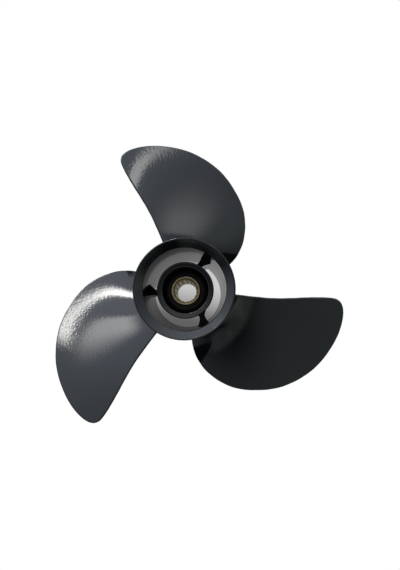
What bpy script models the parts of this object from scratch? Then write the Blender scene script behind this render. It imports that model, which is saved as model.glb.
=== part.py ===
"""Three-bladed outboard propeller with a through-hub exhaust.

The aluminium casting is one piece: a barrel with a flared aft ring, an inner boss held by three ribs,
and three skewed helical blades. A rubber bush sits in the boss and carries a brass splined sleeve.

Metres, +Z aft along the shaft. The origin is on the shaft axis in the plane of the barrel's front face,
on which the propeller stands. Angles are counted from +X towards +Y, as seen from aft.
"""

import math

import bmesh
import bpy
import numpy as np

# Whole propeller
BLADE_COUNT = 3
TIP_RADIUS = 0.1175
PITCH = 0.2032
HUB_LENGTH = 0.075
PRESS_GAP = 0.0003

# Barrel and its flared aft ring
BARREL_STEPS = 90
BARREL_FRONT_RADIUS = 0.0308
BARREL_RADIUS = 0.0315
BARREL_BORE_RADIUS = 0.0281
FRONT_BORE_RADIUS = 0.0290
FRONT_BORE_DEPTH = 0.012
RING_RADIUS = 0.03405
RING_MOUTH_RADIUS = 0.0329
RING_BEVEL_DEPTH = 0.0039
RING_LEDGE = 0.0005
FLARE_LENGTH = 0.016
FLARE_STEPS = 5
EDGE_ROUND = 0.0008

# Inner boss, inside the barrel
BOSS_STEPS = 72
BOSS_RADIUS = 0.0203
BOSS_BORE_RADIUS = 0.0165
BOSS_LIP_RADIUS = 0.0145
BOSS_LIP_LENGTH = 0.005
BOSS_FRONT = 0.013
BOSS_AFT = HUB_LENGTH - 0.0158
BOSS_CHAMFER = 0.0009
BOSS_BORE_CHAMFER = 0.0005

# Ribs between boss and barrel. Seen from aft they widen towards the barrel, and their centre line is not
# radial: it runs through RIB_ANGLE at RIB_CENTRE_RADIUS and falls back by RIB_LEAN for each step outwards
RIB_ANGLE = 60.0
RIB_FRONT = 0.016
RIB_AFT = HUB_LENGTH - 0.031
RIB_CENTRE_RADIUS = 0.0248
RIB_LEAN = 0.45
RIB_WAIST_HALF_WIDTH = 0.0022
RIB_WAIST_RADIUS = 0.0228
RIB_BOSS_HALF_WIDTH = 0.0034
RIB_BARREL_HALF_WIDTH = 0.0047
RIB_FLARE_POWER = 1.5
RIB_STEPS = 12

# Blades: the aft face is a true helicoid that passes HELIX_ANGLE at the height HELIX_HEIGHT
HELIX_ANGLE = 75.0
HELIX_HEIGHT = 0.0306
BLADE_ROOT_THICKNESS = 0.0078
BLADE_TIP_THICKNESS = 0.0026
BLADE_FULLNESS = 0.75
BLADE_EDGE_RADIUS = 0.0009
ROOT_FILLET_RADIUS = 0.0075
ROOT_FILLET_CUT = 0.0008
ROOT_FILLET_EDGE_SHARE = 0.35
ROOT_SINK = 0.0016
CHORD_STEPS = 15
SPAN_STEPS = 19
TIP_ROW_CROWDING = 1.25

# Offset table of the outline: radius in mm, leading edge and trailing edge in degrees
BLADE_STATIONS = (
    (31.5, 33.8, 114.6),
    (48.0, 35.4, 114.5),
    (62.0, 40.7, 114.7),
    (75.0, 48.3, 115.6),
    (86.0, 56.2, 116.5),
    (96.0, 65.8, 117.0),
    (104.0, 74.1, 117.1),
    (110.0, 82.6, 116.7),
    (114.0, 90.2, 115.1),
    (116.3, 97.7, 112.4),
    (117.5, 106.3, 106.3),
)

# Rubber bush pressed into the boss
BUSH_STEPS = 64
BUSH_FRONT = BOSS_FRONT + BOSS_LIP_LENGTH + PRESS_GAP
BUSH_AFT = HUB_LENGTH - 0.032
BUSH_COLLAR_RADIUS = 0.0146
BUSH_COLLAR_HEIGHT = 0.0035
BUSH_CHAMFER = 0.0008

# Splined sleeve bonded into the bush
SLEEVE_RADIUS = 0.0103
SLEEVE_FRONT = 0.0120
SLEEVE_AFT = HUB_LENGTH - 0.0227
SLEEVE_CHAMFER = 0.0003
SLEEVE_CONE_RADIUS = 0.0094
SLEEVE_CONE_DEPTH = 0.0018
# The bore is plain from the front up to the splines, as wide as their roots
SPLINE_FRONT = 0.024
SPLINE_COUNT = 14
SPLINE_TOOTH_RADIUS = 0.00765
SPLINE_ROOT_RADIUS = 0.0083
# Where the corners of one tooth and groove lie, as shares of the spline's angular pitch
SPLINE_TOOTH_CORNERS = (-0.32, -0.16, 0.0)
SPLINE_GROOVE_CORNERS = (0.10, 0.34, 0.58)

MILLIMETRE = 0.001


def clear_scene():
    """Removes every object that the file opened with."""
    for thing in list(bpy.data.objects):
        bpy.data.objects.remove(thing, do_unlink=True)


def finish_material(name, color, metallic, roughness):
    """A plain finish with one colour."""
    material = bpy.data.materials.new(name)
    material.use_nodes = True
    shader = material.node_tree.nodes["Principled BSDF"]
    shader.inputs["Base Color"].default_value = (*color, 1.0)
    shader.inputs["Metallic"].default_value = metallic
    shader.inputs["Roughness"].default_value = roughness
    return material


def object_from(mesh_builder, name, material, crease_angle=35.0):
    """Turns a bmesh into a named object, with its faces outwards and its round sides smooth."""
    bmesh.ops.recalc_face_normals(mesh_builder, faces=mesh_builder.faces)
    mesh = bpy.data.meshes.new(name)
    mesh_builder.to_mesh(mesh)
    mesh_builder.free()
    mesh.shade_smooth()
    mesh.set_sharp_from_angle(angle=math.radians(crease_angle))
    mesh.materials.append(material)
    thing = bpy.data.objects.new(name, mesh)
    bpy.context.scene.collection.objects.link(thing)
    return thing


def turned(profile, steps):
    """Spins a closed (radius, height) profile right round the Z axis."""
    builder = bmesh.new()
    corners = [builder.verts.new((radius, 0.0, height)) for radius, height in profile]
    sides = [builder.edges.new((corners[i - 1], corners[i])) for i in range(len(corners))]
    bmesh.ops.spin(
        builder,
        geom=corners + sides,
        axis=(0.0, 0.0, 1.0),
        cent=(0.0, 0.0, 0.0),
        angle=2.0 * math.pi,
        steps=steps,
        use_merge=True,
    )
    return builder


def barrel_profile():
    """The barrel's wall: a drafted outside that flares into the aft ring, a wide bevel at its mouth, a plain bore."""
    flare_start = HUB_LENGTH - FLARE_LENGTH
    flare_end = HUB_LENGTH - EDGE_ROUND
    outside = [
        (BARREL_FRONT_RADIUS - EDGE_ROUND, 0.0),
        (BARREL_FRONT_RADIUS, EDGE_ROUND),
    ]
    for step in range(FLARE_STEPS + 1):
        share = step / FLARE_STEPS
        radius = BARREL_RADIUS + (RING_RADIUS - BARREL_RADIUS) * math.sin(share * math.pi / 2.0) ** 1.5
        outside.append((radius, flare_start + (flare_end - flare_start) * share))
    mouth = [
        (RING_RADIUS - 0.4 * EDGE_ROUND, HUB_LENGTH),
        (RING_MOUTH_RADIUS, HUB_LENGTH),
        (BARREL_BORE_RADIUS + RING_LEDGE, HUB_LENGTH - RING_BEVEL_DEPTH),
        (BARREL_BORE_RADIUS, HUB_LENGTH - RING_BEVEL_DEPTH - RING_LEDGE),
    ]
    bore = [
        (BARREL_BORE_RADIUS, FRONT_BORE_DEPTH + (FRONT_BORE_RADIUS - BARREL_BORE_RADIUS)),
        (FRONT_BORE_RADIUS, FRONT_BORE_DEPTH),
        (FRONT_BORE_RADIUS, 0.0),
    ]
    return outside + mouth + bore


def boss_profile():
    """The inner boss: a tube with chamfered rims and a lip at the front that the bush seats on."""
    lip_top = BOSS_FRONT + BOSS_LIP_LENGTH
    return [
        (BOSS_LIP_RADIUS, BOSS_FRONT),
        (BOSS_RADIUS - BOSS_CHAMFER, BOSS_FRONT),
        (BOSS_RADIUS, BOSS_FRONT + BOSS_CHAMFER),
        (BOSS_RADIUS, BOSS_AFT - BOSS_CHAMFER),
        (BOSS_RADIUS - BOSS_CHAMFER, BOSS_AFT),
        (BOSS_BORE_RADIUS + BOSS_BORE_CHAMFER, BOSS_AFT),
        (BOSS_BORE_RADIUS, BOSS_AFT - BOSS_BORE_CHAMFER),
        (BOSS_BORE_RADIUS, lip_top),
        (BOSS_LIP_RADIUS, lip_top),
    ]


def rib_half_width(radius):
    """Half the rib's width at a radius: least at the waist, wider towards the boss and the barrel."""
    inner = (RIB_WAIST_RADIUS - radius) / (RIB_WAIST_RADIUS - BOSS_RADIUS)
    outer = (radius - RIB_WAIST_RADIUS) / (BARREL_BORE_RADIUS - RIB_WAIST_RADIUS)
    at_boss = (RIB_BOSS_HALF_WIDTH - RIB_WAIST_HALF_WIDTH) * min(max(inner, 0.0), 1.0) ** 2
    at_barrel = (RIB_BARREL_HALF_WIDTH - RIB_WAIST_HALF_WIDTH) * min(max(outer, 0.0), 1.0) ** RIB_FLARE_POWER
    return RIB_WAIST_HALF_WIDTH + at_boss + at_barrel


def rib_builder():
    """One rib along +X, as an extruded outline whose ends are sunk into the boss and the barrel."""
    inner = 0.5 * (BOSS_RADIUS + BOSS_BORE_RADIUS)
    outer = 0.5 * (BARREL_RADIUS + BARREL_BORE_RADIUS)
    radii = [inner + (outer - inner) * step / RIB_STEPS for step in range(RIB_STEPS + 1)]
    middles = [RIB_LEAN * (RIB_CENTRE_RADIUS - radius) for radius in radii]
    halves = [rib_half_width(radius) for radius in radii]
    outline = [(radius, middle - half) for radius, middle, half in zip(radii, middles, halves)]
    outline += [(radius, middle + half) for radius, middle, half in reversed(list(zip(radii, middles, halves)))]
    builder = bmesh.new()
    corners = [builder.verts.new((x, y, RIB_FRONT)) for x, y in outline]
    face = builder.faces.new(corners)
    extruded = bmesh.ops.extrude_face_region(builder, geom=[face])["geom"]
    raised = [item for item in extruded if isinstance(item, bmesh.types.BMVert)]
    bmesh.ops.translate(builder, verts=raised, vec=(0.0, 0.0, RIB_AFT - RIB_FRONT))
    return builder


def smooth_through(at, known, values):
    """A cubic through each known value, with the slope there of the parabola through its two neighbours."""
    slopes = np.gradient(values, known)
    left = np.clip(np.searchsorted(known, at, side="right") - 1, 0, len(known) - 2)
    width = known[left + 1] - known[left]
    share = (at - known[left]) / width
    rise = share**2 * (3.0 - 2.0 * share)
    return (
        values[left] * (1.0 - rise)
        + values[left + 1] * rise
        + slopes[left] * width * share * (1.0 - share) ** 2
        - slopes[left + 1] * width * share**2 * (1.0 - share)
    )


def blade_radius(reach):
    """The radius at a reach of 0 at the tip to 1 at the barrel. It falls as the square, so the tip closes round."""
    return TIP_RADIUS - (TIP_RADIUS - BARREL_RADIUS) * reach**2


def fillet_growth(radius):
    """How far the root fillet stands out from the blade, from nothing above it to most of its radius at the barrel."""
    height = np.clip(radius - BARREL_RADIUS, 0.0, None) + ROOT_FILLET_CUT
    share = 1.0 - np.clip(height / ROOT_FILLET_RADIUS, 0.0, 1.0)
    return ROOT_FILLET_RADIUS * (1.0 - np.sqrt(1.0 - share**2))


def blade_edges(reach):
    """The leading and trailing edge's angles in radians, with the root fillet run out along the helix."""
    table = np.array(BLADE_STATIONS[::-1])
    below_tip = np.clip(TIP_RADIUS - table[:, 0] * MILLIMETRE, 0.0, None)
    known = np.sqrt(below_tip / (TIP_RADIUS - BARREL_RADIUS))
    radius = blade_radius(reach)
    growth = ROOT_FILLET_EDGE_SHARE * fillet_growth(radius)
    run_out = growth / np.hypot(radius, PITCH / (2.0 * math.pi))
    leading = np.radians(smooth_through(reach, known, table[:, 1])) - run_out
    trailing = np.radians(smooth_through(reach, known, table[:, 2])) + run_out
    return leading, trailing


def helicoid(radius, angle):
    """Points of the blade's aft face and the unit normals that point aft from it."""
    lead = PITCH / (2.0 * math.pi)
    height = HELIX_HEIGHT + lead * (angle - math.radians(HELIX_ANGLE))
    points = np.stack([radius * np.cos(angle), radius * np.sin(angle), height], axis=-1)
    slant = np.hypot(radius, lead)
    normals = np.stack([lead * np.sin(angle), -lead * np.cos(angle), radius], axis=-1) / slant[..., None]
    return points, normals


def chord_shares(chord):
    """Where the points lie across a chord: two close to each edge for its rounding, the others evenly by cosine."""
    near = np.minimum(0.3 * BLADE_EDGE_RADIUS / chord, 0.05)
    far = np.minimum(1.2 * BLADE_EDGE_RADIUS / chord, 0.12)
    middle = 0.5 - 0.5 * np.cos(np.linspace(0.0, math.pi, CHORD_STEPS - 1))
    return np.concatenate([[0.0, near], far + (1.0 - 2.0 * far) * middle, [1.0 - near, 1.0]])


def blade_outline():
    """Points close together along the whole outline, from the leading edge's root over the tip to the other root."""
    reach = np.linspace(1.0, 0.0, 400)
    leading, trailing = blade_edges(reach)
    angles = np.concatenate([leading, trailing[::-1]])
    radii = np.concatenate([blade_radius(reach), blade_radius(reach)[::-1]])
    return helicoid(radii, angles)[0]


def blade_section(reach, outline):
    """The closed loop of points round the blade at one reach: its aft face first, then its forward face."""
    radius = max(float(blade_radius(reach)), BARREL_RADIUS)
    leading, trailing = (float(edge) for edge in blade_edges(np.array(reach)))
    chord = (trailing - leading) * math.hypot(radius, PITCH / (2.0 * math.pi))
    share = chord_shares(chord)
    seat = radius if reach < 1.0 else BARREL_RADIUS - ROOT_SINK
    angle = leading + (trailing - leading) * share
    points, normals = helicoid(np.full_like(angle, seat), angle)
    flush, _ = helicoid(np.full_like(angle, radius), angle)
    inset = np.linalg.norm(flush[:, None, :] - outline[None, :, :], axis=-1).min(axis=1)
    belly = (4.0 * share * (1.0 - share)) ** BLADE_FULLNESS
    fillet = fillet_growth(np.array(radius)) * (ROOT_FILLET_EDGE_SHARE + (1.0 - ROOT_FILLET_EDGE_SHARE) * belly)
    span = (radius - BARREL_RADIUS) / (TIP_RADIUS - BARREL_RADIUS)
    most = BLADE_ROOT_THICKNESS + (BLADE_TIP_THICKNESS - BLADE_ROOT_THICKNESS) * span
    least = 2.0 * BLADE_EDGE_RADIUS
    thickness = least + (most - least) * belly + 2.0 * fillet
    edge = BLADE_EDGE_RADIUS + fillet
    fullness = np.sqrt(1.0 - (1.0 - np.clip(inset / edge, 0.0, 1.0)) ** 2)
    fullness[[0, -1]] = 0.0
    aft = fillet - edge * (1.0 - fullness)
    forward = fillet - edge - (thickness - edge) * fullness
    aft_face = points + normals * aft[:, None]
    forward_face = points + normals * forward[:, None]
    return np.concatenate([aft_face, forward_face[-2:0:-1]])


def blade_builder():
    """One blade, lofted from its root inside the barrel's wall to its tip."""
    outline = blade_outline()
    reaches = (np.arange(SPAN_STEPS, 0, -1) / SPAN_STEPS) ** TIP_ROW_CROWDING
    builder = bmesh.new()
    sections = [blade_section(1.0, outline)]
    sections += [blade_section(reach, outline) for reach in reaches[:-1] * (1.0 - 1e-6)]
    sections.append(blade_section(reaches[-1], outline))
    loops = [[builder.verts.new(point) for point in section] for section in sections]
    count = len(loops[0])
    for lower, upper in zip(loops, loops[1:]):
        for i in range(count):
            builder.faces.new((lower[i - 1], lower[i], upper[i], upper[i - 1]))
    root = loops[0]
    for i in range(count // 2):
        ring = (root[i], root[i + 1], root[count - i - 1], root[(count - i) % count])
        builder.faces.new(tuple(dict.fromkeys(ring)))
    tip_angle = float(blade_edges(np.array(0.0))[0])
    point, normal = helicoid(np.array(TIP_RADIUS), np.array(tip_angle))
    tip = builder.verts.new(point - normal * BLADE_EDGE_RADIUS)
    for i in range(count):
        builder.faces.new((loops[-1][i - 1], loops[-1][i], tip))
    return builder


def join_to(body, part):
    """Fuses a helper shape into the casting. The helper stays as a hidden wireframe."""
    part.hide_render = True
    part.display_type = "WIRE"
    union = body.modifiers.new("join_" + part.name, "BOOLEAN")
    union.operation = "UNION"
    union.solver = "EXACT"
    union.object = part


def three_of(first, angle):
    """The first form turned to its angle, and a copy of it for each further blade."""
    first.rotation_euler.z = math.radians(angle)
    forms = [first]
    for number in range(1, BLADE_COUNT):
        copy = bpy.data.objects.new(first.name[:-1] + str(number + 1), first.data)
        copy.rotation_euler.z = math.radians(angle + 360.0 * number / BLADE_COUNT)
        bpy.context.scene.collection.objects.link(copy)
        forms.append(copy)
    return forms


def make_casting():
    """The painted aluminium casting: barrel, boss, three ribs and three blades in one solid."""
    paint = finish_material("slate_gloss_paint", (0.030, 0.034, 0.042), 0.6, 0.25)
    casting = object_from(turned(barrel_profile(), BARREL_STEPS), "propeller_casting", paint)
    boss = object_from(turned(boss_profile(), BOSS_STEPS), "boss_form", paint)
    ribs = three_of(object_from(rib_builder(), "rib_form_1", paint), RIB_ANGLE)
    blades = three_of(object_from(blade_builder(), "blade_form_1", paint), 0.0)
    for form in ribs + [boss] + blades:
        join_to(casting, form)
    return casting


def make_bush():
    """The rubber bush: a thick tube with a raised collar round the sleeve."""
    rubber = finish_material("black_rubber", (0.012, 0.012, 0.012), 0.0, 0.7)
    outer = BOSS_BORE_RADIUS - PRESS_GAP
    inner = SLEEVE_RADIUS + PRESS_GAP
    profile = [
        (inner, BUSH_FRONT),
        (outer - BUSH_CHAMFER, BUSH_FRONT),
        (outer, BUSH_FRONT + BUSH_CHAMFER),
        (outer, BUSH_AFT - BUSH_CHAMFER),
        (outer - BUSH_CHAMFER, BUSH_AFT),
        (BUSH_COLLAR_RADIUS, BUSH_AFT),
        (BUSH_COLLAR_RADIUS, BUSH_AFT + BUSH_COLLAR_HEIGHT - BUSH_CHAMFER),
        (BUSH_COLLAR_RADIUS - BUSH_CHAMFER, BUSH_AFT + BUSH_COLLAR_HEIGHT),
        (inner, BUSH_AFT + BUSH_COLLAR_HEIGHT),
    ]
    return object_from(turned(profile, BUSH_STEPS), "rubber_bush", rubber)


def spline_outline():
    """Angle and radius of each corner of the sleeve's toothed bore, tooth by tooth."""
    corners = []
    for tooth in range(SPLINE_COUNT):
        for share in SPLINE_TOOTH_CORNERS:
            corners.append((2.0 * math.pi * (tooth + share) / SPLINE_COUNT, SPLINE_TOOTH_RADIUS))
        for share in SPLINE_GROOVE_CORNERS:
            corners.append((2.0 * math.pi * (tooth + share) / SPLINE_COUNT, SPLINE_ROOT_RADIUS))
    return corners


def make_sleeve():
    """The brass sleeve: round outside, splined inside, with a cone at the aft end and a plain front."""
    brass = finish_material("dull_brass", (0.30, 0.24, 0.13), 0.9, 0.42)
    bore = spline_outline()
    cone_end = SLEEVE_AFT - SLEEVE_CONE_DEPTH
    rings = [
        ([SLEEVE_RADIUS - SLEEVE_CHAMFER] * len(bore), SLEEVE_FRONT),
        ([SLEEVE_RADIUS] * len(bore), SLEEVE_FRONT + SLEEVE_CHAMFER),
        ([SLEEVE_RADIUS] * len(bore), SLEEVE_AFT - SLEEVE_CHAMFER),
        ([SLEEVE_RADIUS - SLEEVE_CHAMFER] * len(bore), SLEEVE_AFT),
        ([SLEEVE_CONE_RADIUS] * len(bore), SLEEVE_AFT),
        ([SPLINE_ROOT_RADIUS] * len(bore), cone_end),
        ([radius for _, radius in bore], cone_end - SLEEVE_CHAMFER),
        ([radius for _, radius in bore], SPLINE_FRONT + SLEEVE_CHAMFER),
        ([SPLINE_ROOT_RADIUS] * len(bore), SPLINE_FRONT),
        ([SPLINE_ROOT_RADIUS] * len(bore), SLEEVE_FRONT + SLEEVE_CHAMFER),
        ([SPLINE_ROOT_RADIUS + SLEEVE_CHAMFER] * len(bore), SLEEVE_FRONT),
    ]
    builder = bmesh.new()
    loops = []
    for radii, height in rings:
        loop = [
            builder.verts.new((radius * math.cos(angle), radius * math.sin(angle), height))
            for radius, (angle, _) in zip(radii, bore)
        ]
        loops.append(loop)
    for index, loop in enumerate(loops):
        before = loops[index - 1]
        for i in range(len(loop)):
            builder.faces.new((before[i - 1], before[i], loop[i], loop[i - 1]))
    return object_from(builder, "splined_sleeve", brass)


clear_scene()
make_casting()
make_bush()
make_sleeve()
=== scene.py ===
"""The looks of an outboard propeller that stands on its front face, seen from aft.

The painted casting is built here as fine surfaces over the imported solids: barrel, boss, ribs and blades.
The rubber bush and the splined brass sleeve are finer versions of their solids too.

Metres, +Z aft along the shaft, origin on the shaft axis in the plane of the barrel's front face.
Angles are counted from +X towards +Y, as seen from aft.
"""

import logging
import math
from dataclasses import dataclass
from enum import Enum
from typing import ClassVar

import bpy
import numpy as np
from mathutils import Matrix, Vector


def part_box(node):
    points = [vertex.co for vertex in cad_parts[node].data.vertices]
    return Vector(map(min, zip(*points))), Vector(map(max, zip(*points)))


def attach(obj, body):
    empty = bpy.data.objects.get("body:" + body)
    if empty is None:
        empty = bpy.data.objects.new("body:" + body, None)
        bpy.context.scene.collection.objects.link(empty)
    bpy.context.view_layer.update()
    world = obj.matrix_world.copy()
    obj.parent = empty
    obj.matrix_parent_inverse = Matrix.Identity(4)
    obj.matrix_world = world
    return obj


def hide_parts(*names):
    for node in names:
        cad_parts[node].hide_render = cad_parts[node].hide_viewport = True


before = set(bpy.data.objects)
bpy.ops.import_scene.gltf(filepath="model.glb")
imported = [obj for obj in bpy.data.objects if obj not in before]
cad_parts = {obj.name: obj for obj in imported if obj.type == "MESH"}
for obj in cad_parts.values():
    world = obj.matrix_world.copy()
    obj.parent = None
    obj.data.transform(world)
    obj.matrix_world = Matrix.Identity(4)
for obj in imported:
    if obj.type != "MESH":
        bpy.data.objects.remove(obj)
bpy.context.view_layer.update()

log = logging.getLogger("propeller")
Socket = bpy.types.NodeSocket
Material = bpy.types.Material

MILLIMETRE = 0.001
FULL_TURN = 2.0 * math.pi
BODY = "root"
RIGHT = (1.0, 0.0, 0.0)
UP = (0.0, 0.0, 1.0)
# The tilt of a direction that runs level, counted from straight up
LEVEL = 90.0
# How far the point beside a rounding lies from it, as a share of its radius
SUPPORT_SHARE = 0.25
# Keeps a cosine that was rounded up from passing 1
JUST_BELOW_ONE = 0.999999


class Slot(Enum):
    """The record's material slots."""

    PAINT = "painted_casting"
    RUBBER = "bush_rubber"
    BRASS = "sleeve_brass"


class Node(Enum):
    """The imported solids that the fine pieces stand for."""

    CASTING = "propeller_casting"
    BUSH = "rubber_bush"
    SLEEVE = "splined_sleeve"


class Signal:
    """A number that varies over a surface. Arithmetic on it adds Math nodes."""

    def __init__(self, tree: "ShaderTree", socket: Socket) -> None:
        """Wraps one output socket.

        Args:
            tree: The tree that new nodes go into.
            socket: The output that carries the number.
        """
        self.tree = tree
        self.socket = socket

    def __add__(self, other: object) -> "Signal":
        """This plus other."""
        return self.tree.math("ADD", self, other)

    def __radd__(self, other: object) -> "Signal":
        """Other plus this."""
        return self.tree.math("ADD", other, self)

    def __sub__(self, other: object) -> "Signal":
        """This minus other."""
        return self.tree.math("SUBTRACT", self, other)

    def __rsub__(self, other: object) -> "Signal":
        """Other minus this."""
        return self.tree.math("SUBTRACT", other, self)

    def __mul__(self, other: object) -> "Signal":
        """This times other."""
        return self.tree.math("MULTIPLY", self, other)

    def __rmul__(self, other: object) -> "Signal":
        """Other times this."""
        return self.tree.math("MULTIPLY", other, self)


class ShaderTree:
    """A node tree that is written as expressions."""

    def __init__(self, tree: bpy.types.NodeTree) -> None:
        """Empties a node tree and keeps it.

        Args:
            tree: A material's or the world's node tree.
        """
        self.tree = tree
        self.tree.nodes.clear()

    def node(self, kind: str, settings: dict | None = None, sockets: dict | None = None) -> bpy.types.Node:
        """Adds one node.

        Args:
            kind: The node's type, as Blender names its class.
            settings: Attributes, which are set first.
            sockets: A value, a socket or a Signal for each input, by its name or number.

        Returns:
            The new node.
        """
        made = self.tree.nodes.new(kind)
        for name, value in (settings or {}).items():
            setattr(made, name, value)
        for name, value in (sockets or {}).items():
            target = made.inputs[name]
            source = value.socket if isinstance(value, Signal) else value
            if isinstance(source, Socket):
                self.tree.links.new(source, target)
            else:
                target.default_value = source
        return made

    def math(self, operation: str, *operands: object) -> Signal:
        """Adds one Math node.

        Args:
            operation: The node's operation.
            operands: Numbers, sockets or signals.

        Returns:
            The node's result.
        """
        made = self.node("ShaderNodeMath", {"operation": operation}, dict(enumerate(operands)))
        return Signal(self, made.outputs[0])

    def vector_math(self, operation: str, *operands: object) -> bpy.types.Node:
        """Adds one Vector Math node.

        Args:
            operation: The node's operation.
            operands: Vectors or sockets.

        Returns:
            The new node, whose outputs are Vector and Value.
        """
        return self.node("ShaderNodeVectorMath", {"operation": operation}, dict(enumerate(operands)))

    def place(self) -> Socket:
        """The surface point in the piece's own coordinates, in metres."""
        return self.node("ShaderNodeTexCoord").outputs["Object"]

    def seen(self) -> Socket:
        """1 where the camera looks straight at the point, and 0 where another surface mirrors it."""
        return self.node("ShaderNodeLightPath").outputs["Is Camera Ray"]

    def stretched(self, place: Socket, by: tuple) -> Socket:
        """A place whose X, Y and Z are multiplied by three numbers."""
        return self.vector_math("MULTIPLY", place, by).outputs["Vector"]

    def along(self, place: Socket, way: tuple) -> Signal:
        """How far a place or direction reaches along a unit vector: their dot product."""
        return Signal(self, self.vector_math("DOT_PRODUCT", place, way).outputs["Value"])

    def radius(self, place: Socket) -> Signal:
        """A place's distance from the shaft axis: the length of its X and Y."""
        flat = self.stretched(place, (1.0, 1.0, 0.0))
        return Signal(self, self.vector_math("LENGTH", flat).outputs["Value"])

    def mix_color(self, share: object, first: tuple | Socket, second: tuple) -> Socket:
        """Mixes two colours.

        Args:
            share: How much of the second colour shows, from 0 to 1.
            first: A colour of four numbers, or a socket.
            second: A colour of four numbers.

        Returns:
            The mixed colour's socket.
        """
        settings = {"data_type": "RGBA", "clamp_factor": True}
        return self.node("ShaderNodeMix", settings, {0: share, 6: first, 7: second}).outputs[2]

    def noise(self, place: object, size: float, detail: float = 2.0, roughness: float = 0.5) -> Signal:
        """Smooth noise from 0 to 1.

        Args:
            place: The coordinates that the noise is read at.
            size: The width of one lump, in metres.
            detail: How many finer layers are added.
            roughness: How strong each finer layer is.

        Returns:
            The noise's value.
        """
        sockets = {"Vector": place, "Scale": 1.0 / size, "Detail": detail, "Roughness": roughness}
        made = self.node("ShaderNodeTexNoise", {"noise_dimensions": "3D"}, sockets)
        return Signal(self, made.outputs["Fac"])

    def range(
        self, value: object, low: float, high: float, to_low: float = 0.0, to_high: float = 1.0
    ) -> Signal:
        """A value carried from one range to another in a smooth step, and held at its ends.

        Args:
            value: The number or signal to carry over.
            low: The value that gives to_low.
            high: The value that gives to_high.
            to_low: The result at low.
            to_high: The result at high.

        Returns:
            The result.
        """
        sockets = {0: value, 1: low, 2: high, 3: to_low, 4: to_high}
        made = self.node("ShaderNodeMapRange", {"interpolation_type": "SMOOTHSTEP"}, sockets)
        return Signal(self, made.outputs[0])

    def bump(self, height: Signal, depth: float, under: object = None) -> Socket:
        """A normal that is tilted by a height from 0 to 1.

        Args:
            height: The relief.
            depth: How deep the whole relief is, in metres.
            under: Another normal that this one is laid over.

        Returns:
            The normal's socket.
        """
        sockets = {"Height": height, "Distance": depth, "Strength": 1.0}
        if under is not None:
            sockets["Normal"] = under
        return self.node("ShaderNodeBump", None, sockets).outputs["Normal"]

    def principled(self, sockets: dict) -> Socket:
        """The usual surface shader with the given sockets."""
        return self.node("ShaderNodeBsdfPrincipled", None, sockets).outputs[0]

    def background(self, color: object, strength: object) -> Socket:
        """Light that comes in from the room."""
        return self.node("ShaderNodeBackground", None, {"Color": color, "Strength": strength}).outputs[0]

    def mix_shader(self, share: object, first: object, second: object) -> Socket:
        """Two shaders, of which the second shows by the share."""
        return self.node("ShaderNodeMixShader", None, {0: share, 1: first, 2: second}).outputs[0]

    def show(self, shader: Socket, output: str = "ShaderNodeOutputMaterial") -> None:
        """Leads a shader to the tree's output."""
        self.node(output, None, {"Surface": shader})


def new_tree(name: str) -> tuple[Material, ShaderTree]:
    """Makes an empty material.

    Args:
        name: The material's name.

    Returns:
        The material and its tree.
    """
    material = bpy.data.materials.new(name)
    material.use_nodes = True
    return material, ShaderTree(material.node_tree)


def gray(value: float) -> tuple[float, float, float, float]:
    """A neutral colour."""
    return (value, value, value, 1.0)


def direction(azimuth: float, tilt: float = LEVEL) -> tuple[float, float, float]:
    """The unit vector at an azimuth from +X towards +Y and a tilt from +Z, both in degrees."""
    turn, lean = math.radians(azimuth), math.radians(tilt)
    return (math.sin(lean) * math.cos(turn), math.sin(lean) * math.sin(turn), math.cos(lean))


@dataclass(frozen=True)
class SlatePaint:
    """Dark slate gloss paint, sprayed with an orange peel: coarse waves under a fine grain."""

    name: str = "slate_gloss_paint"
    deep: tuple = (0.0020, 0.0026, 0.0030, 1.0)
    pale: tuple = (0.0062, 0.0076, 0.0090, 1.0)
    ior: float = 1.52
    roughness: float = 0.05
    wave_size: float = 0.0065
    wave_depth: float = 0.000012
    peel_size: float = 0.0018
    peel_depth: float = 0.000026
    flake_size: float = 0.00035
    flake_range: tuple = (0.45, 0.75)
    flake_share: float = 0.4
    cloud_size: float = 0.030
    cloud_dullness: float = 0.04

    def coat(self, tree: ShaderTree, ior: float, roughness: float | Signal) -> Socket:
        """One coat of the paint, with clouds and flakes in its colour.

        Args:
            tree: The tree it is written in.
            ior: How strongly it mirrors.
            roughness: How dull it is.

        Returns:
            The coat's shader.
        """
        place = tree.place()
        clouds = tree.noise(place, self.cloud_size, detail=3.0)
        flakes = tree.range(tree.noise(place, self.flake_size, detail=1.0), *self.flake_range)
        paleness = flakes * self.flake_share + clouds * (1.0 - self.flake_share)
        waves = tree.bump(tree.noise(place, self.wave_size, detail=1.0), self.wave_depth)
        peel = tree.bump(tree.noise(place, self.peel_size, detail=1.5), self.peel_depth, waves)
        return tree.principled(
            {
                "Base Color": tree.mix_color(paleness, self.deep, self.pale),
                "Roughness": clouds * self.cloud_dullness + roughness,
                "IOR": ior,
                "Normal": peel,
            }
        )

    def build(self) -> Material:
        """Writes the material.

        Returns:
            The paint.
        """
        material, tree = new_tree(self.name)
        tree.show(self.coat(tree, self.ior, self.roughness))
        return material


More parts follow.
